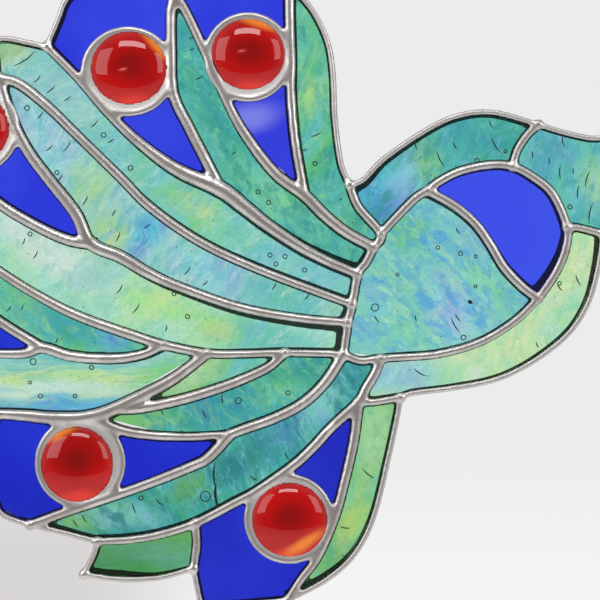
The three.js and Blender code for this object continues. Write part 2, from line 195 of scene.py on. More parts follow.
# A soft oval patch of another colour.
tint, ends_in, ends_out = group(
    "tint",
    [("Colour", "Color", None), ("Point", "Vector", None), ("Tint", "Color", None),
     ("Centre", "Vector", None), ("Turn", "Vector", None), ("Reach", "Vector", None),
     ("Amount", "Float", 1.0)],
    [("Colour", "Color")],
)
oval = add(tint, "Mapping", vector_type="TEXTURE")
feed(tint, oval, Vector=ends_in.outputs["Point"], Location=ends_in.outputs["Centre"],
     Rotation=ends_in.outputs["Turn"], Scale=ends_in.outputs["Reach"])
distance = add(tint, "VectorMath", operation="LENGTH")
tint.links.new(oval.outputs[0], distance.inputs[0])
inside = ranged(tint, distance.outputs["Value"], 0.15, 1.0, 1.0, 0.0)
share = maths(tint, "MULTIPLY", inside, ends_in.outputs["Amount"])
tinted = mixed(tint, share, ends_in.outputs["Colour"], ends_in.outputs["Tint"])
tint.links.new(tinted, ends_out.inputs["Colour"])

# Streaks along the roll of the sheet: its hue swings between blue and green, a deeper colour and a paler
# one run through it in wisps, and a fine mottle lies over it all.
streaks, ends_in, ends_out = group(
    "streaks",
    [("Colour", "Color", None), ("Deep", "Color", None), ("Pale", "Color", None), ("Turn", "Vector", None),
     ("Deep Amount", "Float", 0.5), ("Pale Amount", "Float", 0.4), ("Swing", "Float", 1.0),
     ("Length", "Float", 2.0)],
    [("Colour", "Color"), ("Height", "Float")],
)
where = points_of(streaks)
flowing = place_group(streaks, stirred, Reach=4.0).outputs["Point"]
turned = feed(streaks, add(streaks, "Mapping", vector_type="TEXTURE"), Vector=flowing,
              Rotation=ends_in.outputs["Turn"])
long_way = joined(streaks, add(streaks, "CombineXYZ"), ends_in.outputs["Length"], 1.0, 1.0)
drawn = vectors(streaks, "DIVIDE", turned.outputs[0], long_way)
drift = noise(streaks, drawn, 95.0, 5.0, 0.6, 0.9)
broad = noise(streaks, drawn, 165.0, 5.0, 0.62, 1.2)
wispy = noise(streaks, drawn, 215.0, 5.0, 0.64, 1.4)
mottle = noise(streaks, where, 900.0, 3.0, 0.6)
off_centre = ranged(streaks, drift.outputs["Fac"], 0.34, 0.66, -0.07, 0.07, "LINEAR")
swung = maths(streaks, "MULTIPLY_ADD", off_centre, ends_in.outputs["Swing"], 0.5)
hued = feed(streaks, add(streaks, "HueSaturation"), Hue=swung, Color=ends_in.outputs["Colour"])
deep_share = maths(streaks, "MULTIPLY", ranged(streaks, broad.outputs["Fac"], 0.50, 0.60),
                   ends_in.outputs["Deep Amount"])
pale_share = maths(streaks, "MULTIPLY", ranged(streaks, wispy.outputs["Fac"], 0.53, 0.64),
                   ends_in.outputs["Pale Amount"])
with_deep = mixed(streaks, deep_share, hued.outputs["Color"], ends_in.outputs["Deep"])
with_pale = mixed(streaks, pale_share, with_deep, ends_in.outputs["Pale"])
grain = ranged(streaks, mottle.outputs["Fac"], 0.3, 0.7, 0.84, 1.0, "LINEAR")
grey = joined(streaks, add(streaks, "CombineColor"), grain, grain, grain)
streaks.links.new(mixed(streaks, 1.0, with_pale, grey, "MULTIPLY"), ends_out.inputs["Colour"])
streaks.links.new(wispy.outputs["Fac"], ends_out.inputs["Height"])


def surface(tree, **values):
    """Sets or links inputs of the material's own surface shader."""
    feed(tree, tree.nodes["Principled BSDF"], **values)


def glass_surface(tree, colour, height, bump, roughness):
    """Clear art glass of this colour, gently uneven."""
    dent = feed(tree, add(tree, "Bump"), Strength=bump, Distance=0.0004, Height=height)
    surface(tree, Base_Color=colour, Roughness=roughness, IOR=1.52, Transmission_Weight=1.0,
            Metallic=0.0, Normal=dent.outputs["Normal"])


def new_material(name):
    """A material with the renderer's own surface shader."""
    material = bpy.data.materials.new(name)
    material.use_nodes = True
    return material


def coat_node(name, material):
    """Gives a CAD node this material alone."""
    nodes[name].data.materials.clear()
    nodes[name].data.materials.append(material)


# The sheets' colours, as each shows against the light.
DARK_TEAL = seen(45, 135, 140)
DEEP_TEAL = seen(50, 155, 150)
BLUE_TEAL = seen(60, 165, 175)
SEA_GREEN = seen(70, 175, 165)
TEAL = seen(90, 190, 175)
AQUA = seen(105, 200, 185)
SEA = seen(130, 210, 205)
MIST = seen(160, 215, 210)
PALE = seen(205, 235, 225)
ICE = seen(215, 240, 230)
LAGOON = seen(90, 185, 195)
SKY = seen(140, 205, 225)
PALE_SKY = seen(160, 210, 230)
BLUE = seen(85, 170, 225)
STEEL_BLUE = seen(75, 150, 185)
MOSS = seen(75, 165, 85)
FERN = seen(100, 175, 130)
JADE = seen(75, 175, 140)
GREEN = seen(105, 200, 165)
LEAF = seen(130, 205, 145)
MINT = seen(130, 215, 175)
APPLE = seen(165, 220, 160)
SPRING = seen(170, 230, 195)
LIME = seen(170, 225, 140)
STRAW = seen(205, 240, 180)
YELLOW_GREEN = seen(190, 235, 150)
OLIVE = seen(180, 210, 110)
GRASS = seen(135, 200, 110)

# Each streaky pane: the turn of its streaks in degrees, how strongly deep and pale show, the three
# colours (main, deep, pale), and its patches: colour, x, y, half length and half width in mm, turn.
STREAKY = {
    "feather_glass_01": (70, 0.7, 0.7, (GREEN, DEEP_TEAL, LIME), [
        (TEAL, 12, 40, 14, 9, 100), (LIME, 3, 68, 9, 5, 20), (GREEN, 0, 88, 10, 6, 80),
        (JADE, 22, 26, 9, 6, 60)]),
    "feather_glass_02": (115, 0.85, 0.75, (TEAL, DEEP_TEAL, MINT), [
        (SEA_GREEN, -38, 84, 12, 5, 100), (MINT, -6, 34, 16, 7, 140), (SEA_GREEN, -27, 62, 14, 7, 115)]),
    "feather_glass_03": (35, 0.5, 0.6, (SEA, LAGOON, PALE), [
        (OLIVE, -98, 84, 12, 6, 20), (MIST, -80, 68, 18, 9, 140), (SEA, -55, 45, 18, 8, 140),
        (MINT, -30, 25, 22, 8, 150), (APPLE, -35, 30, 9, 5, 150), (SEA, 0, 12, 20, 7, 160)]),
    "feather_glass_04": (60, 0.65, 0.65, (MIST, LAGOON, PALE), [
        (PALE_SKY, -85, 52, 20, 9, 130), (APPLE, -70, 38, 14, 7, 60), (BLUE, -52, 22, 9, 7, 60),
        (APPLE, -64, 20, 9, 6, 60), (SKY, -30, 10, 16, 7, 160), (AQUA, -4, 0, 16, 6, 165)]),
    "feather_glass_05": (40, 0.5, 0.55, (SPRING, AQUA, PALE), [
        (ICE, -92, 22, 18, 8, 140), (ICE, -76, 12, 14, 7, 150), (YELLOW_GREEN, -48, -2, 16, 8, 160),
        (MIST, -68, 8, 9, 6, 40), (AQUA, -12, -12, 20, 7, 170), (LIME, -28, -8, 10, 5, 160)]),
    "feather_glass_06": (145, 0.7, 0.6, (GREEN, BLUE_TEAL, LIME), [
        (BLUE, -64, -12, 8, 5, 150), (LEAF, -92, 4, 12, 6, 140), (SEA_GREEN, -78, -9, 12, 5, 150)]),
    "feather_glass_07": (4, 0.65, 0.6, (MIST, LAGOON, STRAW), [
        (SEA, -80, -20, 30, 3, 2), (YELLOW_GREEN, -80, -26, 40, 3, 2), (PALE, -85, -30, 30, 3, 2),
        (BLUE, -80, -36, 34, 3.5, 3), (MINT, -45, -24, 12, 4, 12)]),
    "feather_glass_08": (30, 0.4, 0.4, (LEAF, JADE, PALE), [
        (APPLE, -35, -26, 12, 5, 30), (AQUA, -16, -20, 10, 4, 20)]),
    "feather_glass_09": (130, 0.85, 0.6, (SEA_GREEN, DEEP_TEAL, LIME), [
        (GRASS, -58, -39, 14, 4, 5), (BLUE_TEAL, -25, -36, 14, 6, 10), (GREEN, -8, -32, 10, 6, 20)]),
    "feather_glass_10": (120, 0.8, 0.65, (SEA_GREEN, DARK_TEAL, SKY), [
        (LEAF, -76, -72, 10, 5, 170), (SEA, -60, -72, 12, 5, 170), (FERN, -38, -62, 8, 6, 30),
        (STEEL_BLUE, -4, -42, 10, 7, 60), (SEA, 8, -34, 10, 6, 60), (DARK_TEAL, -22, -56, 10, 6, 40)]),
    "feather_glass_11": (70, 0.45, 0.4, (LEAF, JADE, LIME), [
        (APPLE, 24, -46, 12, 6, 80), (FERN, 12, -86, 12, 7, 60), (OLIVE, 18, -74, 10, 5, 70)]),
    "tail_corner_glass": (5, 0.5, 0.3, (FERN, MOSS, LEAF), [
        (FERN, -50, -82, 22, 4, 5), (MOSS, -55, -90, 22, 4, 170)]),
    "back_glass": (60, 0.7, 0.6, (TEAL, DEEP_TEAL, SKY), [
        (BLUE, 27, 36, 12, 9, 50), (SKY, 36, 42, 10, 6, 50), (LEAF, 42, 47, 8, 5, 120),
        (SEA_GREEN, 62, 54, 16, 7, 170)]),
    "body_glass": (-42, 0.85, 0.85, (SEA, BLUE, SPRING), [
        (AQUA, 36, 24, 16, 9, 120), (PALE_SKY, 52, -4, 14, 8, 140), (MINT, 34, -10, 14, 7, 140),
        (MINT, 62, 6, 12, 6, 130)]),
    "breast_glass": (65, 0.5, 0.6, (STRAW, MINT, PALE), [
        (STRAW, 92, 10, 12, 6, 90), (SPRING, 90, -4, 12, 7, 60), (SKY, 32, -26, 18, 8, 0),
        (SPRING, 52, -24, 14, 6, 0), (STRAW, 66, -22, 12, 5, 20)]),
    "neck_glass": (85, 0.75, 0.65, (AQUA, BLUE_TEAL, SKY), [
        (LAGOON, 80, 44, 10, 8, 90), (APPLE, 97, 38, 9, 8, 90), (AQUA, 90, 34, 9, 7, 90),
        (MINT, 112, 52, 14, 8, 60)]),
}


STRIPED = ("feather_glass_07", "tail_corner_glass")     # cut where the colours ran straight
SOFT_EDGE = 1.5                     # how far a patch fades out, for its half length and width


def turn_of(degrees):
    """A turn in the plane of the sheet, as a rotation about the frame's Y."""
    return (0.0, -math.radians(degrees), 0.0)


def patched(tree, colour, point, patch, middle, along, across, turn, amount):
    """A colour with a soft oval patch on it: where its middle is, how far it reaches in mm, its turn."""
    return place_group(tree, tint, Colour=colour, Point=point, Tint=patch, Centre=middle, Turn=turn_of(turn),
                       Reach=(along * MM, 1.0, across * MM), Amount=amount).outputs["Colour"]


for name, (turn, deep, pale, colours, patches) in STREAKY.items():
    material = new_material("streaky_" + name)
    tree = material.node_tree
    point = place_group(tree, stirred, Reach=7.0).outputs["Point"]
    colour = colours[0]
    for patch, x, y, along, across, patch_turn in patches:
        colour = patched(tree, colour, point, patch, at(x, y), along * SOFT_EDGE, across * SOFT_EDGE,
                         patch_turn, 0.9)
    run = place_group(tree, streaks, Colour=colour, Deep=colours[1], Pale=colours[2], Turn=turn_of(turn),
                      Deep_Amount=deep, Pale_Amount=pale, Length=7.0 if name in STRIPED else 2.0)
    glass_surface(tree, run.outputs["Colour"], run.outputs["Height"], 0.07, 0.08)
    coat_node(name, material)


# ---- The cut glass: cobalt, and the amber beak ---------------------------------------
# One even cobalt sheet, smooth on both sides, gives the caps and wedges round the nuggets, the wing,
# the head and the crest. It is clear and deep, with a faint cloud in places; on the top wedge a pale
# lavender spot is a painted reflection. The beak is amber.

def even_glass(name, colour, cloud, amount, spot=None):
    """A sheet of one colour, clouded in places, and perhaps with a spot of another colour painted as a
    reflection.
    """
    material = new_material(name)
    tree = material.node_tree
    where = points_of(tree)
    drift = noise(tree, where, 26.0, 4.0)
    speck = noise(tree, where, 2400.0, 1.0)
    factor = ranged(tree, drift.outputs["Fac"], 0.4, 0.75, 0.0, amount)
    result = mixed(tree, factor, colour, cloud)
    if spot:
        patch, x, y, along, across, spot_turn = spot
        point = place_group(tree, stirred, Reach=3.0).outputs["Point"]
        result = patched(tree, result, point, patch, at(x, y), along * SOFT_EDGE, across * SOFT_EDGE,
                         spot_turn, 0.7)
    dust = ranged(tree, speck.outputs["Fac"], 0.76, 0.84, 0.0, 0.5)
    result = mixed(tree, dust, result, seen(225, 230, 250))
    glass_surface(tree, result, drift.outputs["Fac"], 0.05, 0.03)
    return material


COBALT = {
    "upper": even_glass("cobalt_upper", seen(38, 54, 220), seen(54, 72, 232), 0.9),
    # the top wedge's sheet carries a pale lavender spot of painted reflection below the top nugget
    "painted_reflection": even_glass("cobalt_painted_reflection", seen(48, 60, 222), seen(64, 78, 232), 0.8,
                       (seen(138, 146, 240), -17, 61, 10, 5, 10)),
    "wing": even_glass("cobalt_wing", seen(58, 78, 238), seen(66, 90, 242), 0.8),
    "lower": even_glass("cobalt_lower", seen(20, 38, 200), seen(30, 52, 212), 0.9),
    "bottom": even_glass("cobalt_bottom", seen(24, 38, 188), seen(34, 52, 200), 0.9),
}
COBALT_PANES = {
    "wing": ["wing_glass"],
    "painted_reflection": ["wedge_glass_top"],
    "upper": ["cap_glass_top", "cap_glass_top_left", "cap_glass_upper_left", "cap_glass_lower_left",
              "wedge_glass_top_left", "wedge_glass_upper_left", "head_glass", "crest_glass"],
    "lower": ["cap_glass_bottom_left", "wedge_glass_lower_left", "wedge_glass_bottom_left"],
    "bottom": ["cap_glass_bottom", "wedge_glass_bottom"],
}
for sheet, panes in COBALT_PANES.items():
    for name in panes:
        coat_node(name, COBALT[sheet])
coat_node("beak_glass", even_glass("amber", seen(226, 160, 50), seen(235, 185, 80), 0.8))


# ---- Creases and seeds in the streaky glass ------------------------------------------
# Short dark creases, where the rolled sheet folded over itself, and seeds, which are air bubbles that
# rose to the surface. Both are open to the front face and show as thin dark lines and small rings.

FRONT = -GLASS / 2

# x, y, turn in degrees and length in mm, and how wide for its kind
CREASES = [
    (5.5, 55, 25, 4.3), (1.5, 50, 25, 1.5), (13.5, 33.5, 35, 1.7),
    (-36, 87.5, 25, 2.5), (-36, 83.5, 20, 1.8), (-33.5, 74, 25, 3.3), (-22, 49, 30, 1.9),
    (-91.5, 80, 35, 9.8), (-87.5, 73.5, 45, 3.8), (-83, 70, 40, 4.3), (-77.5, 67, 35, 3.3),
    (-68.5, 58.5, 45, 3.8), (-63, 53, 30, 3.1),
    (-86.5, 61.5, 50, 3.5), (-83.5, 50.5, 40, 3.5), (-77.5, 51, 55, 4.8), (-80, 40.5, 55, 3.6),
    (-71.5, 33, 60, 4.2), (-62, 29, 60, 2.7), (-60.5, 21, 65, 4), (-51, 24.5, 35, 2.9),
    (-37.5, 9.5, 50, 4), (-31.5, 5.5, 40, 2.6), (-8.5, 4.5, 60, 3.4), (2.5, 1, 50, 3.1),
    (-92, 19.5, 70, 2.8), (-88, 15, 60, 3.4), (-60, 3.5, 55, 4.1), (-54.5, -3, 55, 4.5),
    (-44.5, -9.5, 75, 2.7),
    (-97, -3, 50, 2.6), (-92.5, -2.5, 70, 2.1), (-81, -13.5, 65, 2.2), (-66.5, -17.5, 0, 3.3),
    (-32, -38, -65, 4), (-26, -33, -85, 3.7), (-46, -37.5, -65, 2.2),
    (-47, -67.5, -45, 4.2), (-55.5, -69.5, -70, 3.9), (-75, -74.5, -55, 3.3), (-72, -73, -60, 3.4),
    (-15.5, -59.5, -35, 3.3), (-4.5, -52, -65, 3.3),
    (-28.8, -58.5, -88, 10, 1.4), (-28.2, -65.5, -84, 9.5, 2.2),
    (22.5, -58, -40, 5.7), (15, -76, -10, 3.7), (15.5, -86, -30, 4.3),
    (56.7, -0.7, -30, 1.8, 3.2), (52.5, 23, -60, 2.7), (38.5, -6, -80, 2.4),
    (51.5, -8.5, -60, 6.4), (52.5, -6, -55, 3.6), (25.5, -6.5, -55, 3.3),
    (38.5, 51.5, -80, 3.4), (46.5, 47, -65, 6.3), (51.5, 51.5, -65, 3), (65, 51.5, -60, 6.9),
    (63.5, 58.5, -65, 3), (74, 58.5, -55, 4.1),
    (77.5, 48.5, -90, 2.7), (83, 46.5, -85, 2.7), (86.5, 42.5, -90, 5), (91, 43, -90, 2.3),
    (95.5, 40.5, -105, 6.1), (92.5, 36, -95, 5), (96.5, 29, -100, 8.4), (87.5, 53, -80, 4.4),
    (92.5, 6.5, -65, 4.5), (86.5, 4, -50, 3.1), (79, -15, -65, 2.2), (40, -24.5, -30, 5.4),
]
# x, y and radius in mm
SEEDS = [
    (5, 45.5, 0.7), (-14, 36, 0.7), (-10.5, 32.5, 0.7), (-65.5, 55, 0.8), (-56.5, 44, 0.8),
    (-91, 64, 0.8), (-81, 42.5, 0.7), (-10, 15, 0.7), (-5, 14.5, 0.7), (-8, 12, 0.7), (1.5, 10, 0.7),
    (-90, 22, 0.7), (-37.5, -5.5, 0.7), (-42, 2, 0.6), (-89, -20.5, 1), (-69.5, -22.5, 0.7),
    (-90, -27.5, 0.5), (-86.5, -32, 0.7), (-75, -32, 0.6), (-20.5, -33.5, 1), (-4, -31, 0.7),
    (-28.5, -28.5, 0.5), (-31.5, -65.5, 1.7), (-53, -66, 0.7), (25, -2.5, 1.2), (46, 17.5, 0.6),
    (53.5, 15.5, 0.7), (58.5, 14.5, 0.5), (32.5, 8.5, 0.5), (58.5, 4.5, 0.5), (54.5, -12.5, 0.8),
    (59, 46.5, 0.7), (68.5, 49.5, 0.5), (90, 31, 0.7), (86.5, 5.5, 0.6), (73.5, -22, 0.8),
]
LISTED_REACH = 100                  # beyond this, up and sideways, the flaws are scattered by chance
CREASE_HALF = 0.21                  # half width of a crease, in mm
SEED_WALL = 0.2                     # half width of a seed's ring


def mesh_piece(name, bm, material, smooth=True):
    """A finished bmesh as an object of the part, on its one body."""
    mesh = bpy.data.meshes.new(name)
    bmesh.ops.recalc_face_normals(bm, faces=bm.faces)
    bm.to_mesh(mesh)
    bm.free()
    return dress_piece(name, mesh, material, smooth)


def dress_piece(name, mesh, material, smooth=True):
    """A finished mesh as an object of the part, on its one body."""
    mesh.polygons.foreach_set("use_smooth", [smooth] * len(mesh.polygons))
    mesh.materials.clear()
    mesh.materials.append(material)
    piece = bpy.data.objects.new(name, mesh)
    bpy.context.scene.collection.objects.link(piece)
    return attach(piece, "root")


def poured_onto(target, shape):
    """Adds a bmesh to another one, and frees it."""
    bmesh.ops.recalc_face_normals(shape, faces=shape.faces)
    mesh = bpy.data.meshes.new("poured")
    shape.to_mesh(mesh)
    shape.free()
    target.from_mesh(mesh)
    bpy.data.meshes.remove(mesh)


def crease(x, y, turn, length, wide=1.0):
    """A thin spindle, bent to one side, that lies on the front of the glass."""
    spindle = bmesh.new()
    bmesh.ops.create_uvsphere(spindle, u_segments=10, v_segments=6, radius=1)
    bmesh.ops.scale(spindle, vec=(length / 2 * MM, 0.05 * MM, CREASE_HALF * wide * MM), verts=spindle.verts)
    for vert in spindle.verts:
        vert.co.z += 0.09 * length * MM * (2 * vert.co.x / (length * MM)) ** 2
    place = Matrix.Translation(at(x, y, FRONT)) @ Matrix.Rotation(-math.radians(turn), 4, "Y")
    bmesh.ops.transform(spindle, matrix=place, verts=spindle.verts)
    return spindle


def is_streaky(x, y):
    """Whether a point of the drawing lies on a streaky pane."""
    start = at(x, y, -20)
    return any(nodes[name].ray_cast(start, Vector((0, 1, 0)))[0] for name in STREAKY)


CHANCES = 900                       # spots tried for the larger flaws
SPECKS = 1500                       # and for the fine specks
chance = random.Random(11)
strewn_creases = []
strewn_seeds = []
for _ in range(CHANCES):
    x = chance.uniform(-150, 140)
    y = chance.uniform(-100, 105)
    if (abs(x) > LISTED_REACH or abs(y) > LISTED_REACH) and is_streaky(x, y):
        turn = 60 if x < 0 else -75
        strewn_creases.append((x, y, chance.gauss(turn, 12), chance.uniform(1.5, 4.5)))
        strewn_seeds.append((x + 4, y - 3, chance.uniform(0.4, 0.8)))
strewn_creases = strewn_creases[::3]
strewn_seeds = [spot for spot in strewn_seeds[::5] if is_streaky(spot[0], spot[1])]

flaw = new_material("glass_flaws")
flaw_tree = flaw.node_tree
flaw_noise = noise(flaw_tree, points_of(flaw_tree), 900.0)
flaw_colour = mixed(flaw_tree, flaw_noise.outputs["Fac"], painted(2, 16, 18), painted(8, 36, 38))
surface(flaw_tree, Base_Color=flaw_colour, Roughness=0.3)

crease_bm = bmesh.new()
for flaw_sizes in CREASES + strewn_creases:
    poured_onto(crease_bm, crease(*flaw_sizes))
for _ in range(SPECKS):
    x = chance.uniform(-150, 130)
    y = chance.uniform(-100, 105)
    if is_streaky(x, y):
        speck = chance.uniform(0.25, 0.6)
        poured_onto(crease_bm, crease(x, y, chance.uniform(0, 180), speck, speck))
mesh_piece("glass_creases", crease_bm, flaw)

seed_bm = bmesh.new()
for x, y, radius in SEEDS + strewn_seeds:
    wall = bmesh.ops.create_circle(seed_bm, segments=6, radius=SEED_WALL * MM,
                                   matrix=Matrix.Translation(at(x + radius, y, FRONT)))["verts"]
    edges = list({edge for vert in wall for edge in vert.link_edges})
    bmesh.ops.spin(seed_bm, geom=wall + edges, cent=at(x, y, FRONT), axis=(0, 1, 0), angle=2 * math.pi,
                   steps=14, use_merge=True)
mesh_piece("glass_seeds", seed_bm, flaw)


# ---- Nuggets -------------------------------------------------------------------------
# Domed gems of pressed red glass, about 25 mm across with a flat back: the eyes of the tail. Their red
# is deep, and turns bright orange near one edge.

NUGGET_SIDE = [                     # share of the half width, and depth in mm, from the back to the top
    (0.0, 1.5), (0.91, 1.5), (0.92, 1.5), (0.96, 1.4), (0.985, 1.0), (0.995, 0.0), (1.0, -0.7),
    (0.985, -1.5), (0.93, -2.4), (0.84, -3.15), (0.70, -3.85), (0.52, -4.4), (0.30, -4.82), (0.0, -4.98),
]
SEAT_SIDE = [(0.0, 4.0), (0.97, 4.0)] + [step for step in NUGGET_SIDE if step[0] > 0.97 or step[1] < 0]
NUGGET_STEPS = 64
PAINTED_GLINTS = {"nugget_top_left": (-59, 76.7), "nugget_top": (-19.5, 82.8)}    # small pale glints, painted on the glass
# middle, half width and half height, and where the orange lies: turn in degrees and how far out
NUGGETS = {
    "nugget_top_left": ((-57.0, 77.4), (13.0, 12.4), (42, 0.93)),
    "nugget_top": ((-17.3, 82.0), (12.6, 12.1), (72, 0.93)),
    "nugget_upper_left": ((-109.0, 57.4), (12.4, 12.2), (110, 0.88)),
    "nugget_lower_left": ((-126.0, -4.0), (12.5, 12.5), (250, 0.88)),
    "nugget_bottom_left": ((-74.4, -54.8), (12.3, 12.8), (118, 0.92)),
    "nugget_bottom": ((-3.4, -73.3), (12.9, 12.6), (-58, 0.72)),
}


def nugget_shape(bm, middle, half, side=NUGGET_SIDE, grow=0.0):
    """A nugget turned from its side view and pressed to its two half widths, grown by some mm."""
    rim = [bm.verts.new((share * MM * (1 + grow / 12), (depth * (1 + grow / 3)) * MM / half[0], 0))
           for share, depth in side]
    edges = [bm.edges.new(pair) for pair in zip(rim, rim[1:])]
    bmesh.ops.spin(bm, geom=rim + edges, cent=(0, 0, 0), axis=(0, 1, 0), angle=2 * math.pi,
                   steps=NUGGET_STEPS, use_merge=True)
    bmesh.ops.remove_doubles(bm, verts=bm.verts, dist=1e-7)
    bmesh.ops.scale(bm, vec=(half[0], half[0], half[1]), verts=bm.verts)
    bmesh.ops.translate(bm, vec=at(*middle), verts=bm.verts)
    bmesh.ops.recalc_face_normals(bm, faces=bm.faces)


def nugget_glass(name, middle, half, orange, painted_glint=None):
    """Red glass for one nugget: darker in the middle, lit below, orange beside one edge, and perhaps a small
    painted glint.
    """
    turn, out = orange
    angle = math.radians(turn)
    x, y = middle
    edge = at(x + half[0] * out * math.cos(angle), y + half[1] * out * math.sin(angle))
    material = new_material("red_" + name)
    tree = material.node_tree
    cloud = noise(tree, points_of(tree), 90.0, 3.0)
    clouded = ranged(tree, cloud.outputs["Fac"], 0.35, 0.7, 0.0, 0.6)
    colour = mixed(tree, clouded, seen(186, 2, 1), seen(160, 0, 0))
    point = place_group(tree, stirred, Reach=1.5).outputs["Point"]
    colour = patched(tree, colour, point, seen(132, 0, 0), at(x, y + 1), 9.5, 7.5, 0, 0.9)
    colour = patched(tree, colour, point, seen(226, 44, 30), at(x + 1, y - 11.2), 10.5, 3.6, 8, 0.85)
    colour = patched(tree, colour, point, seen(246, 130, 30), edge, 11.5, 2.8, turn - 90, 0.95)
    # a small pale glint, painted into the red
    if painted_glint:
        colour = patched(tree, colour, point, seen(236, 150, 140), at(*painted_glint), 2.4, 0.8, 10, 0.8)
    glass_surface(tree, colour, cloud.outputs["Fac"], 0.03, 0.0)
    surface(tree, IOR=1.13, Coat_Weight=0.85, Coat_IOR=1.5, Coat_Roughness=0.02)
    return material


for name, (middle, half, orange) in NUGGETS.items():
    nugget_bm = bmesh.new()
    nugget_shape(nugget_bm, middle, half)
    nugget = mesh_piece(name + "_dome", nugget_bm, nugget_glass(name, middle, half, orange, PAINTED_GLINTS.get(name)))
    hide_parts(name)


# ---- Copper foil ---------------------------------------------------------------------
# Every pane's edge is wrapped in black-backed copper foil. Its black side is stuck to the glass, so on
# the front it shows only through the glass, as a dark line where the fold on the back laps further in
# than the front bead. Solder later covers all of its copper side.

JOINTS = {
    # the outline of the tail, from the notch above the back, anticlockwise
    "backNotch": (16.5, 38.5), "firstTip": (-3.5, 104), "ringFoot": (-33.4, 107.5),
    "secondTip": (-41.5, 102), "capFoot": (-84.5, 84.5), "thirdTip": (-102.5, 86),
    "fourthTip": (-100.5, 74), "fifthFoot": (-134, 61), "sixthTip": (-142.5, 40.5),
    "sixthFoot": (-134.5, 26.5), "seventhFoot": (-150, -22.5), "seventhTip": (-155.5, -27.5),
    "lowerCapTop": (-101, -38), "lowerCapFoot": (-90, -75), "cornerTop": (-67.5, -80.5),
    "cornerTip": (-72, -91.5), "cornerFoot": (-35.5, -89.5), "lastCapCorner": (-33, -102),
    "lastTip": (-4, -100), "lastHead": (33.5, -32.5),
    # joints inside the tail
    "second": (1.5, 35), "third": (-26.5, 37), "fourth": (-70, 19), "fifth": (-67.8, 18.6),
    "sixth": (-45.5, -15), "seventh": (-86, -16), "eighth": (-31, -17.8), "ninth": (-5, -17.6),
    "lens": (-62, -36.3), "lensTail": (-70.5, -39), "wedge": (-23.3, -44.8), "cornerRoot": (-35, -74.5),
    "last": (19.5, -34),
    # the line where the tail meets the body
    "rump": (27, 22), "rumpOne": (24.6, 17.6), "rumpTwo": (19.3, 8.7), "rumpThree": (17.4, -1.5),
    "rumpFour": (16, -7.5), "vent": (14.5, -18), "keel": (27, -19.5),
    # back, wing, neck and breast
    "shoulder": (42.5, 36.5), "nape": (71, 44.5), "napeTop": (79.5, 58.5), "crop": (89, 24.5),
    "wingTip": (79.5, 0.5), "throat": (101, 22),
    # head
    "hindHead": (116.5, 79.5), "chin": (124.5, 77), "beakTop": (130.5, 89.5), "beakLow": (129.5, 83),
    "crestBack": (117.2, 93.8), "crestFront": (122.3, 95.6),
}
BEAD = 1.6                          # usual half width of a seam, in mm
BORDER = 1.1                        # half width of the seam round the outside
FOIL_LAP = 0.42                     # how far the back fold usually shows beside the front bead
NUGGET_COLLARS = {
    "nugget_top_left": (-57.3, 76.2, 16, 15.2),
    "nugget_top": (-17.3, 81, 15, 15.2),
    "nugget_upper_left": (-108.7, 57.3, 15.5, 15.5),
    "nugget_lower_left": (-126, -4, 15.2, 15.2),
    "nugget_bottom_left": (-73.3, -54.2, 15.4, 15.5),
    "nugget_bottom": (-3.7, -73, 15.2, 15.2),
}
SEAMS = []                          # stops, half widths, and the foil's lap on the left and the right


def spread(values, share):
    """A list of values read at a share of its length, straight between them."""
    place = share * (len(values) - 1)
    before = min(int(place), max(len(values) - 2, 0))
    after = min(before + 1, len(values) - 1)
    return values[before] + (values[after] - values[before]) * (place - before)


def seam(half, *route, left=(FOIL_LAP,), right=(FOIL_LAP,)):
    """A seam through joints and points, its half width or widths, and the foil's lap on either side."""
    halves = half if isinstance(half, (list, tuple)) else [half]
    stops = [Vector(JOINTS[stop]) if isinstance(stop, str) else Vector(stop) for stop in route]
    SEAMS.append((stops, halves, left, right))


def border(*route, left=(FOIL_LAP,)):
    """A seam of the outside; the glass is on its left."""
    seam(BORDER, *route, left=left, right=(0,))


def arc(centre, radius, start, end, count):
    """Points on a round cap, between two directions in degrees; a centre may carry more values."""
    turns = [math.radians(start + (end - start) * i / (count - 1)) for i in range(count)]
    return [(centre[0] + radius * math.cos(t), centre[1] + radius * math.sin(t)) for t in turns]


TOP_LEFT = NUGGET_COLLARS["nugget_top_left"]
TOP = NUGGET_COLLARS["nugget_top"]
UPPER_LEFT = NUGGET_COLLARS["nugget_upper_left"]
LOWER_LEFT = NUGGET_COLLARS["nugget_lower_left"]
BOTTOM_LEFT = NUGGETS["nugget_bottom_left"][0]

# the outline of the tail
border("backNotch", (13.5, 46), (11.5, 61.5), (11, 74.5), (9.5, 85), (6, 93.5), (1.5, 100), "firstTip")
border("firstTip", *arc(TOP, 31, 66, 124, 4), "secondTip")
border("secondTip", *arc(TOP_LEFT, 32, 76, 122, 4), (-78.3, 99.7), (-80.8, 93.3), "capFoot",
       left=(0.5, 0.9, 0.9))
border("capFoot", (-91.5, 86), (-98, 87.2), "thirdTip", (-103.6, 80.5), "fourthTip")
border("fourthTip", *arc(UPPER_LEFT, 31, 80, 162, 5), "fifthFoot")
border("fifthFoot", (-140, 66.5), (-147, 67.5), (-153, 63.5), (-154.5, 56), (-151, 48), "sixthTip")
border("sixthTip", (-139.5, 33), "sixthFoot")
border("sixthFoot", *arc(LOWER_LEFT, 30, 122, 205, 5), "seventhFoot")
border("seventhFoot", "seventhTip")
border("seventhTip", (-153, -31.5), (-140, -33.5), (-120, -36.5), "lowerCapTop")
border("lowerCapTop", *arc(BOTTOM_LEFT, 30, 158, 214, 5), "lowerCapFoot", left=(0.4, 0.7))
border("lowerCapFoot", (-80, -77.3), (-73.5, -79), "cornerTop", left=(1.4, 0.8, 0.7))
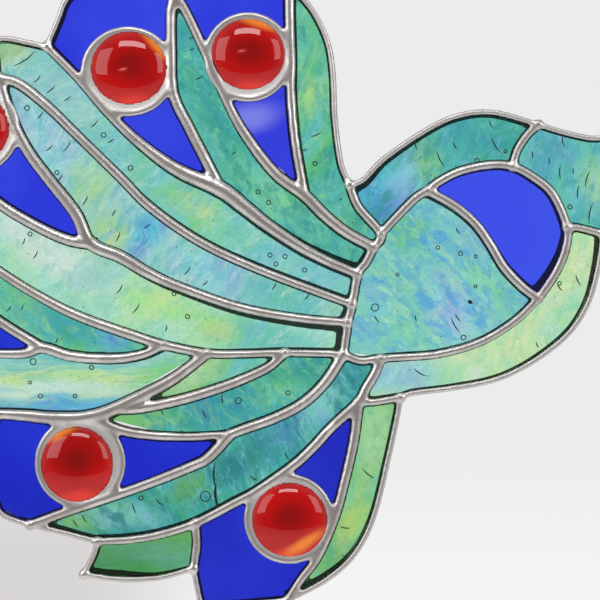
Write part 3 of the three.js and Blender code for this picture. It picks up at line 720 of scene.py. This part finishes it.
border("cornerTop", (-68.8, -85), "cornerTip")
border("cornerTip", (-60, -93.1), (-47, -92.6), "cornerFoot", left=(1.5, 1.9, 0.7, 0.1))
border("cornerFoot", (-34.5, -95), "lastCapCorner", left=(0.5,))
border("lastCapCorner", (-20, -101.5), "lastTip")
border("lastTip", (8.5, -93.5), (18, -85), (24.5, -72.5), (29.5, -52.5), (32.5, -38.5), "lastHead",
       left=(2.2, 1.1, 0.7, 0.6, 0.6))

# the upper feathers
seam([1.8, BEAD, BEAD], "firstTip", (-3.5, 95), (-3, 80), (-3, 68), (-1.5, 52), "second")
seam([BEAD, BEAD, 2.1, 1.8],
     "secondTip", (-37.5, 95), (-32, 83.3), (-24.5, 66.5), (-18.5, 55.5), (-8.5, 42.5), "second",
     (8, 28.5), (15.5, 22.5), "rumpOne", right=(0.2, 0.2, 0.5, 0.6))
seam([1.8, 1.8, 1.9], "secondTip", (-43, 96), (-43, 83), (-42.3, 69), (-37, 57.5), (-31.5, 46.8), "third",
     right=(0.2, 0.5, 0.5))
seam([1.4, BEAD, 2.8, 2, BEAD],
     "capFoot", (-74.5, 74.5), (-64.5, 63), (-53.5, 52.5), (-41, 43.5), "third",
     (-18.5, 31), (-11.5, 25.5), (-1, 18.4), (8.5, 13.3), "rumpTwo",
     left=(0.9, 0.3, 0.5, 0.5, 1.9), right=(0.2, 0.5, 0.9, 0.9))
seam([1.9, BEAD, BEAD, 1.4],
     "fourthTip", (-93.5, 72), (-83.5, 64), (-75, 55.7), (-60, 41), (-50, 31), (-33.5, 19.5), (-13.3, 10),
     "rumpThree", left=(0.2, 0.3, 1.0))

# the left feathers
seam([1.9, 2, 2.3, BEAD, 1.5],
     "fourthTip", (-96.5, 61), (-91, 50), (-84, 40.5), (-75, 29), "fourth",
     (-60, 14.5), (-50, 8.7), (-40, 4.3), (-20, -2.5), (0, -6.1), "rumpFour",
     left=(0.5, 0.3, 0.3), right=(0.2, 0.4, 0.2, 1.0, 2.0))
seam([BEAD, 1.9], "fifthFoot", (-120, 49.3), (-113.5, 43.8), (-100, 32), (-86.5, 24), (-76.5, 19.8), "fifth",
     left=(0.6,))
seam([1.5, BEAD, 1.8, 1.4, 1.3],
     "sixthTip", (-120, 24), (-100, 9.4), (-86.5, 1), (-73.5, -5.5), (-57, -11.4), "sixth", "eighth",
     (-18, -18), "ninth", "vent", right=(0.2, 0.4, 0.4), left=(0.2, 0.2, 0.8))
seam([1.5, 1.8], "sixthTip", (-133.5, 23.5), (-121, 9.5), (-107, -2.3), (-96.5, -9.6), "seventh")
seam([1.3, 1.4, 2, 1.8, 1.4],
     "seventhFoot", (-133.5, -17.8), (-113.5, -17.4), (-93.5, -18), "seventh", (-76.5, -18.7), (-63, -19.6),
     (-52.5, -18.1), "sixth", right=(0.2, 0.2, 0.2, 0.9))

# the lower feathers
seam([1.7, 2.4, 2.2, 1.8],
     "lowerCapTop", (-93.5, -38.4), (-80, -39.5), "lensTail", "lens", (-50, -30.5), (-41.5, -25.7), "eighth",
     left=(0.6, 0.3), right=(0.3, 0.8, 0.3))
seam([2, 1.5], "lens", (-53.5, -36), (-40, -33.3), (-26.7, -29.3), (-16.5, -25.3), (-10, -22), "ninth")
seam([1.9, 1.7], "vent", (8.5, -27.3), (1, -34.4), (-8.5, -39.4), (-18.5, -43), "wedge", right=(0.5,))
seam([1.8, 1.3], "lensTail", (-60, -43.4), (-50, -45.1), (-38, -45.6), (-29, -45.2), "wedge",
     left=(0.3,), right=(0.5, 0.7))
seam([1.9, BEAD],
     "wedge", (-30.5, -52.5), (-36.5, -55.6), (-50, -61), (-64, -66), (-77.5, -70.5), "lowerCapFoot",
     right=(1.0, 0.2, 0.5))
seam([1.7, 1.8, BEAD, 1.4],
     "keel", (25, -24.5), (22, -29.5), "last", (10.5, -42.5), (4.5, -49), (-2.3, -55.3), (-14.3, -63.7),
     (-22.7, -68.2), "cornerRoot", (-46.5, -78.2), (-57, -80), "cornerTop",
     right=(0.3, 0.4, 0.7, 0.9), left=(0.2, 0.5, 0.2))
seam([1.5], "cornerRoot", (-34.5, -81.5), "cornerFoot")
seam([1.3], "last", (25, -34), "lastHead", left=(1.0, 0.5))
seam([1.8, 1.4], "last", (18, -46.5), (15, -60), (11.6, -72.5), (6, -85.5), (0, -93.7), "lastTip")

# the body, the neck and the head
seam([BORDER], "backNotch", (21, 40), (28.5, 47.5), (43.5, 57.5), (54, 61.8), (65, 62.5), "napeTop",
     left=(0,), right=(2.4, 1.2, 0.9, 0.8, 0.9))
seam([1.5],
     "backNotch", (19.5, 31), "rump", "rumpOne", (22, 12.5), "rumpTwo", "rumpThree", "rumpFour", "vent",
     right=(0.4, 0.4, 0.4, 0.5, 1.2, 0.5, 0.7, 1.9, 1.9))
seam([1.5], "rump", (32.7, 28.2), (38.5, 34), "shoulder", (46.5, 39.5), (53.5, 43), (63, 45), "nape",
     (78.5, 40.5), (84.5, 35), "crop", (88.7, 17.5), (85.5, 9.5), "wingTip", right=(0.2, 0.3, 0.5, 0.7, 2.4))
seam([BEAD], "shoulder", (51.5, 31.5), (58.5, 25.5), (63.5, 18.5), (68, 11), (74, 4.5), "wingTip",
     right=(0.9, 0.5, 0.5), left=(0.2, 0.4, 1.2))
seam([1.4], "vent", (20, -20.2), "keel", (35, -19), (46.5, -18), (60, -14.1), (71.5, -7.2), "wingTip",
     left=(0.2, 0.5, 0.5), right=(0.6, 0.2, 0.2))
seam([1.4], "nape", (72.5, 50), (76, 55.3), "napeTop")
seam([1.3], "crop", (93.5, 24), "throat")
border("lastHead", (38, -31), (50, -29.5), (63.5, -27), (73.5, -23), (83.5, -16.5), (91, -9.5), (96.5, 0),
       (99.7, 12), "throat", left=(0.4, 0.5, 0.7, 0.8, 1.6))
seam([BORDER], "napeTop", (90, 55.4), (100, 54), (109, 58), (114, 68), "hindHead", left=(0,), right=(0.3,))
border("throat", (104, 26.5), (109.5, 33.5), (115.5, 44), (120.5, 58), "chin")
seam([1.4], "hindHead", "chin")
seam([BORDER], "hindHead", (114, 86), "crestBack", left=(0,))
seam([BORDER], "crestFront", (127.5, 94), "beakTop", left=(0,))
border("chin", "beakLow")
seam([1.3], "beakTop", "beakLow")
seam([BORDER], "beakTop", (136, 87.4), (139.5, 84.2), (135, 83), "beakLow", left=(0,))
seam([1.3], "crestBack", "crestFront")
seam([BORDER],
     "crestBack", (113.5, 101), (111, 107.5), (117, 110.8), (123.8, 109.5), (123.8, 102), "crestFront",
     left=(0,))


NO_LIMIT = 9.0                      # wider than any seam, in mm
FOIL_GAP = 0.08                     # how far the foil's middle lies behind the glass, in mm


def rods(name, slim, lapped, flatten, depth, sides=3, widest=NO_LIMIT):
    """A mesh of smooth rods along all the seams, pressed flat about a depth in mm. slim is taken off
    their half widths, which stay below widest, and lapped says how much of the foil's lap they follow."""
    curve = bpy.data.curves.new(name, "CURVE")
    curve.dimensions = "3D"
    curve.bevel_depth = MM
    curve.bevel_resolution = sides
    curve.use_fill_caps = True
    curve.resolution_u = 8
    for stops, halves, left, right in SEAMS:
        last = len(stops) - 1
        spline = curve.splines.new("BEZIER")
        spline.bezier_points.add(last)
        for i, (knot, stop) in enumerate(zip(spline.bezier_points, stops)):
            along = stops[min(i + 1, last)] - stops[max(i - 1, 0)]
            side = Vector((-along.y, along.x)).normalized()
            to_left = spread(left, i / last) * lapped
            to_right = spread(right, i / last) * lapped
            middle = stop + side * (to_left - to_right) / 2
            knot.handle_left_type = "FREE"
            knot.handle_right_type = "FREE"
            knot.co = at(*middle)
            knot.handle_left = at(*(middle - along / 6))
            knot.handle_right = at(*(middle + along / 6))
            knot.radius = min(spread(halves, i / last) + (to_left + to_right) / 2 - slim, widest)
    rod = bpy.data.objects.new(name, curve)
    bpy.context.scene.collection.objects.link(rod)
    mesh = bpy.data.meshes.new_from_object(rod.evaluated_get(bpy.context.evaluated_depsgraph_get()))
    bpy.data.objects.remove(rod)
    mesh.transform(Matrix.Translation((0, depth * MM, 0)) @ Matrix.Diagonal((1, flatten, 1, 1)))
    return mesh


BACK = GLASS / 2
foil_black = new_material("foil_backing")
foil_tree = foil_black.node_tree
crinkle = noise(foil_tree, points_of(foil_tree), 600.0, 4.0)
foil_colour = mixed(foil_tree, crinkle.outputs["Fac"], painted(1, 2, 3), painted(12, 13, 14))
surface(foil_tree, Base_Color=foil_colour, Roughness=0.8, Specular_IOR_Level=0.15)
foil_rods = rods("foil_back", -0.12, 1.0, 0.01, BACK + FOIL_GAP, sides=1)
foil = dress_piece("foil_back", foil_rods, foil_black)


# ---- Solder --------------------------------------------------------------------------
# Tin-lead solder, melted along the foil of every seam on both sides. It stands up in round beads, pools
# where seams meet, and lies flat and dull in the dished collars round the nuggets. It also joins the
# two sides through the gaps between the panes.

BEAD_HEIGHT = 0.62                  # a bead's height for its half width
VOXEL = 0.65                        # grain of the flowed solder, in mm
COLLAR_STEPS = 72
LUMP = 2.7                          # the lump that holds the ring
SMOOTH_JOINTS = ("fifth", "lensTail")
SLIM_JOINTS = ("crestBack", "crestFront", "beakTop", "beakLow", "chin", "hindHead")
GLASS_GROWN = 1.06                  # the glass and its foil, for the glass's thickness, in the solder
GLASS_SHIFT = 0.06                  # and how far back, in mm
COLLAR_SIDE = [                     # share of the half width, and depth in mm, from the middle to the rim
    (0.0, 1.55), (0.72, 1.75), (0.84, 1.95), (0.93, 2.35), (0.975, 2.2), (1.0, 1.5), (0.97, 0.0), (0.0, 0.0),
]


def collar(middle_x, middle_y, half_x, half_y, side):
    """A dished disc of solder; side is -1 on the front and 1 on the back."""
    disc = bmesh.new()
    rim = [disc.verts.new((share * MM, side * depth * MM, 0)) for share, depth in COLLAR_SIDE]
    edges = [disc.edges.new(pair) for pair in zip(rim, rim[1:])]
    bmesh.ops.spin(disc, geom=rim + edges, cent=(0, 0, 0), axis=(0, 1, 0), angle=2 * math.pi,
                   steps=COLLAR_STEPS, use_merge=True)
    bmesh.ops.remove_doubles(disc, verts=disc.verts, dist=1e-7)
    bmesh.ops.scale(disc, vec=(half_x, 1, half_y), verts=disc.verts)
    bmesh.ops.translate(disc, vec=at(middle_x, middle_y), verts=disc.verts)
    return disc


def drop(middle, reach, height, segments=16):
    """A flattened ball of solder."""
    ball = bmesh.new()
    place = Matrix.Translation(middle) @ Matrix.Diagonal((reach * MM, height * MM, reach * MM, 1))
    bmesh.ops.create_uvsphere(ball, u_segments=segments, v_segments=segments // 2, radius=1, matrix=place)
    return ball


def helper_object(name, bm):
    """A bmesh as an object that only a modifier uses."""
    mesh = bpy.data.meshes.new(name)
    bm.to_mesh(mesh)
    bm.free()
    helper = bpy.data.objects.new(name, mesh)
    bpy.context.scene.collection.objects.link(helper)
    return helper


def boolean(target, label, operation, other):
    """A Boolean modifier on an object."""
    step = target.modifiers.new(label, "BOOLEAN")
    step.operation = operation
    step.solver = "MANIFOLD"
    step.object = other


solder_bm = bmesh.new()
for name, (stop_x, stop_y) in JOINTS.items():
    reach = 1.75 if name in SLIM_JOINTS else 2.0
    if name == "ringFoot":
        poured_onto(solder_bm, drop(at(stop_x, stop_y), LUMP, LUMP, 24))
    elif name not in SMOOTH_JOINTS:
        for side in (-1, 1):
            poured_onto(solder_bm, drop(at(stop_x, stop_y, side * BACK), reach, 1.25))
for sizes in NUGGET_COLLARS.values():
    for side in (-1, 1):
        poured_onto(solder_bm, collar(*sizes, side))
for rod_mesh in (rods("front_beads", 0, 0, BEAD_HEIGHT, -BACK),
                 rods("back_beads", -0.1, 1.0, BEAD_HEIGHT * 0.9, BACK),
                 rods("cores", 0.4, 0, 2.4, 0, widest=0.72)):
    solder_bm.from_mesh(rod_mesh)
    bpy.data.meshes.remove(rod_mesh)
flowed = helper_object("solder_flowed", solder_bm)
remesh = flowed.modifiers.new("flow", "REMESH")
remesh.mode = "VOXEL"
remesh.voxel_size = VOXEL * MM
smooth = flowed.modifiers.new("settle", "SMOOTH")
smooth.factor = 0.5
smooth.iterations = 4

cutter_bm = bmesh.new()
for name in list(STREAKY) + sum(COBALT_PANES.values(), []) + ["beak_glass"]:
    cutter_bm.from_mesh(nodes[name].data)
bmesh.ops.remove_doubles(cutter_bm, verts=cutter_bm.verts, dist=1e-6)
bmesh.ops.scale(cutter_bm, vec=(1, GLASS_GROWN, 1), verts=cutter_bm.verts)
bmesh.ops.translate(cutter_bm, vec=(0, GLASS_SHIFT * MM, 0), verts=cutter_bm.verts)
for middle, half, _ in NUGGETS.values():
    seat_bm = bmesh.new()
    nugget_shape(seat_bm, middle, half, SEAT_SIDE, 0.04)
    seat_mesh = bpy.data.meshes.new("seat")
    seat_bm.to_mesh(seat_mesh)
    seat_bm.free()
    cutter_bm.from_mesh(seat_mesh)
    bpy.data.meshes.remove(seat_mesh)
cutter = helper_object("glass_places", cutter_bm)
boolean(flowed, "glass places", "DIFFERENCE", cutter)

solder_metal = new_material("solder_metal")
tree = solder_metal.node_tree
where = points_of(tree)
pools = noise(tree, where, 130.0, 4.0, 0.55)
fine = noise(tree, where, 1100.0, 3.0, 0.6)
dull = ranged(tree, pools.outputs["Fac"], 0.35, 0.7)
base = mixed(tree, dull, painted(218, 214, 211), painted(184, 178, 175))
grimy = ranged(tree, fine.outputs["Fac"], 0.58, 0.75, 0.0, 0.35)
base = mixed(tree, grimy, base, painted(120, 114, 110))
rough = ranged(tree, pools.outputs["Fac"], 0.3, 0.75, 0.26, 0.42, "LINEAR")
across = feed(tree, add(tree, "SeparateXYZ"), Vector=where)
off_plane = maths(tree, "ABSOLUTE", across.outputs["Y"])
low_lying = ranged(tree, off_plane, 2.35 * MM, 1.75 * MM)     # the collars, which are dull
rough = maths(tree, "MULTIPLY_ADD", low_lying, 0.16, rough)
base = mixed(tree, low_lying, base, painted(206, 203, 201))
lumps = feed(tree, add(tree, "Bump"), Strength=0.35, Distance=0.0006, Height=pools.outputs["Fac"])
pits = feed(tree, add(tree, "Bump"), Strength=0.25, Distance=0.00012, Height=fine.outputs["Fac"],
            Normal=lumps.outputs["Normal"])
surface(tree, Base_Color=base, Roughness=rough, Metallic=1.0, Normal=pits.outputs["Normal"])

half_block_bm = bmesh.new()
bmesh.ops.create_cube(half_block_bm, size=1)
half_block = helper_object("half_block", half_block_bm)
boolean(flowed, "one side", "INTERSECT", half_block)
for name, block_middle in (("solder_front", -0.5), ("solder_back", 0.5)):
    half_block.location = (0, block_middle, 0)
    view = bpy.context.evaluated_depsgraph_get()
    piece = dress_piece(name, bpy.data.meshes.new_from_object(flowed.evaluated_get(view)), solder_metal)
    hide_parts("solder_web")
for helper in (flowed, cutter, half_block):
    bpy.data.objects.remove(helper)


# ---- Hanging ring --------------------------------------------------------------------
# One ring of tinned 1.6 mm copper wire, bent round and sunk into a lump of solder on the top rim,
# straight above the centre of mass, so that the bird hangs level.

RING_WIRE = 0.8                     # radius of the wire, in mm
RING_MEAN = 4.8                     # radius of the ring, to the middle of the wire
RING_DROP = 4.0                     # how far the ring's middle hangs under the hook that carries it
ring_low, ring_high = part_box("hanging_ring")
ring_middle = (ring_low + ring_high) / 2
ring_bm = bmesh.new()
bmesh.ops.create_circle(ring_bm, segments=20, radius=RING_WIRE * MM,
                        matrix=Matrix.Translation((RING_MEAN * MM, 0, 0)))
bmesh.ops.spin(ring_bm, geom=ring_bm.verts[:] + ring_bm.edges[:], cent=(0, 0, 0), axis=(0, 1, 0),
               angle=2 * math.pi, steps=72, use_merge=True)
bmesh.ops.remove_doubles(ring_bm, verts=ring_bm.verts, dist=1e-7)
bmesh.ops.translate(ring_bm, vec=(ring_middle.x, ring_middle.y, -RING_DROP * MM), verts=ring_bm.verts)
ring = mesh_piece("ring_wire", ring_bm, solder_metal)
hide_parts("hanging_ring")


# ---- Floor, light and camera ---------------------------------------------------------
# A plain pale room: light comes through the glass from behind, from a softbox on either side, and from
# a narrow strip above.

floor_bm = bmesh.new()
bmesh.ops.create_grid(floor_bm, x_segments=1, y_segments=1, size=1.4,
                      matrix=Matrix.Translation((0, 0, cad_box[0].z - 0.35)))
floor = helper_object("floor", floor_bm)
floor_paint = new_material("floor_paint")
surface(floor_paint.node_tree, Base_Color=painted(232, 231, 230), Roughness=0.8)
floor.data.materials.append(floor_paint)

MIDDLE = at(0, 0)


def softbox(name, azimuth, elevation, reach, width, height, power):
    """A light that faces the middle; azimuth turns from the front to the left."""
    a = math.radians(azimuth)
    e = math.radians(elevation)
    toward = Vector((-math.sin(a) * math.cos(e), -math.cos(a) * math.cos(e), math.sin(e)))
    data = bpy.data.lights.new(name, "AREA")
    data.shape = "RECTANGLE"
    data.size = width
    data.size_y = height
    data.energy = power
    lamp = bpy.data.objects.new(name, data)
    lamp.location = MIDDLE + toward * reach
    lamp.rotation_euler = (-toward).to_track_quat("-Z", "Y").to_euler()
    bpy.context.scene.collection.objects.link(lamp)


softbox("softbox_left", 47, 18, 0.9, 0.50, 0.56, 2.1)
softbox("softbox_right", -48, 18, 0.9, 0.42, 0.52, 1.8)
softbox("strip_above", 4, 42, 0.9, 0.48, 0.18, 2.0)

world = bpy.data.worlds.new("pale room")
bpy.context.scene.world = world
world.use_nodes = True
tree = world.node_tree
sky = tree.nodes["Background"]
ray = add(tree, "LightPath")
direction = add(tree, "SeparateXYZ")
tree.links.new(add(tree, "TexCoord").outputs["Generated"], direction.inputs[0])
ahead = ranged(tree, maths(tree, "ABSOLUTE", direction.outputs["Y"]), 0.15, 0.95)
room = mixed(tree, ahead, painted(206, 206, 206), painted(126, 122, 120))
low_down = ranged(tree, direction.outputs["Z"], -0.05, -0.14)
wall = mixed(tree, low_down, painted(237, 236, 236), painted(246, 245, 246))
to_the_left = ranged(tree, direction.outputs["X"], -0.02, -0.10)
shade = maths(tree, "MULTIPLY", ranged(tree, direction.outputs["Z"], -0.06, -0.11), to_the_left)
wall = mixed(tree, shade, wall, painted(216, 213, 213))
sees = maths(tree, "MAXIMUM", ray.outputs["Is Camera Ray"], ray.outputs["Is Transmission Ray"])
meets = maths(tree, "MAXIMUM", sees, ray.outputs["Is Diffuse Ray"])
tree.links.new(mixed(tree, meets, room, wall), sky.inputs["Color"])

camera_data = bpy.data.cameras.new("camera")
camera = bpy.data.objects.new("camera", camera_data)
bpy.context.scene.collection.objects.link(camera)
VIEW_SIDE = 200                     # mm of the drawing across the picture
REACH = 0.75                        # from the front of the glass to the camera, in metres
SENSOR = 36
camera_data.sensor_width = SENSOR
camera_data.lens = SENSOR * REACH / (VIEW_SIDE * MM)
camera.location = MIDDLE + Vector((0, -REACH + FRONT * MM, 0))
camera.rotation_euler = (math.pi / 2, 0, 0)
bpy.context.scene.camera = camera
bpy.context.scene.view_settings.view_transform = "Standard"
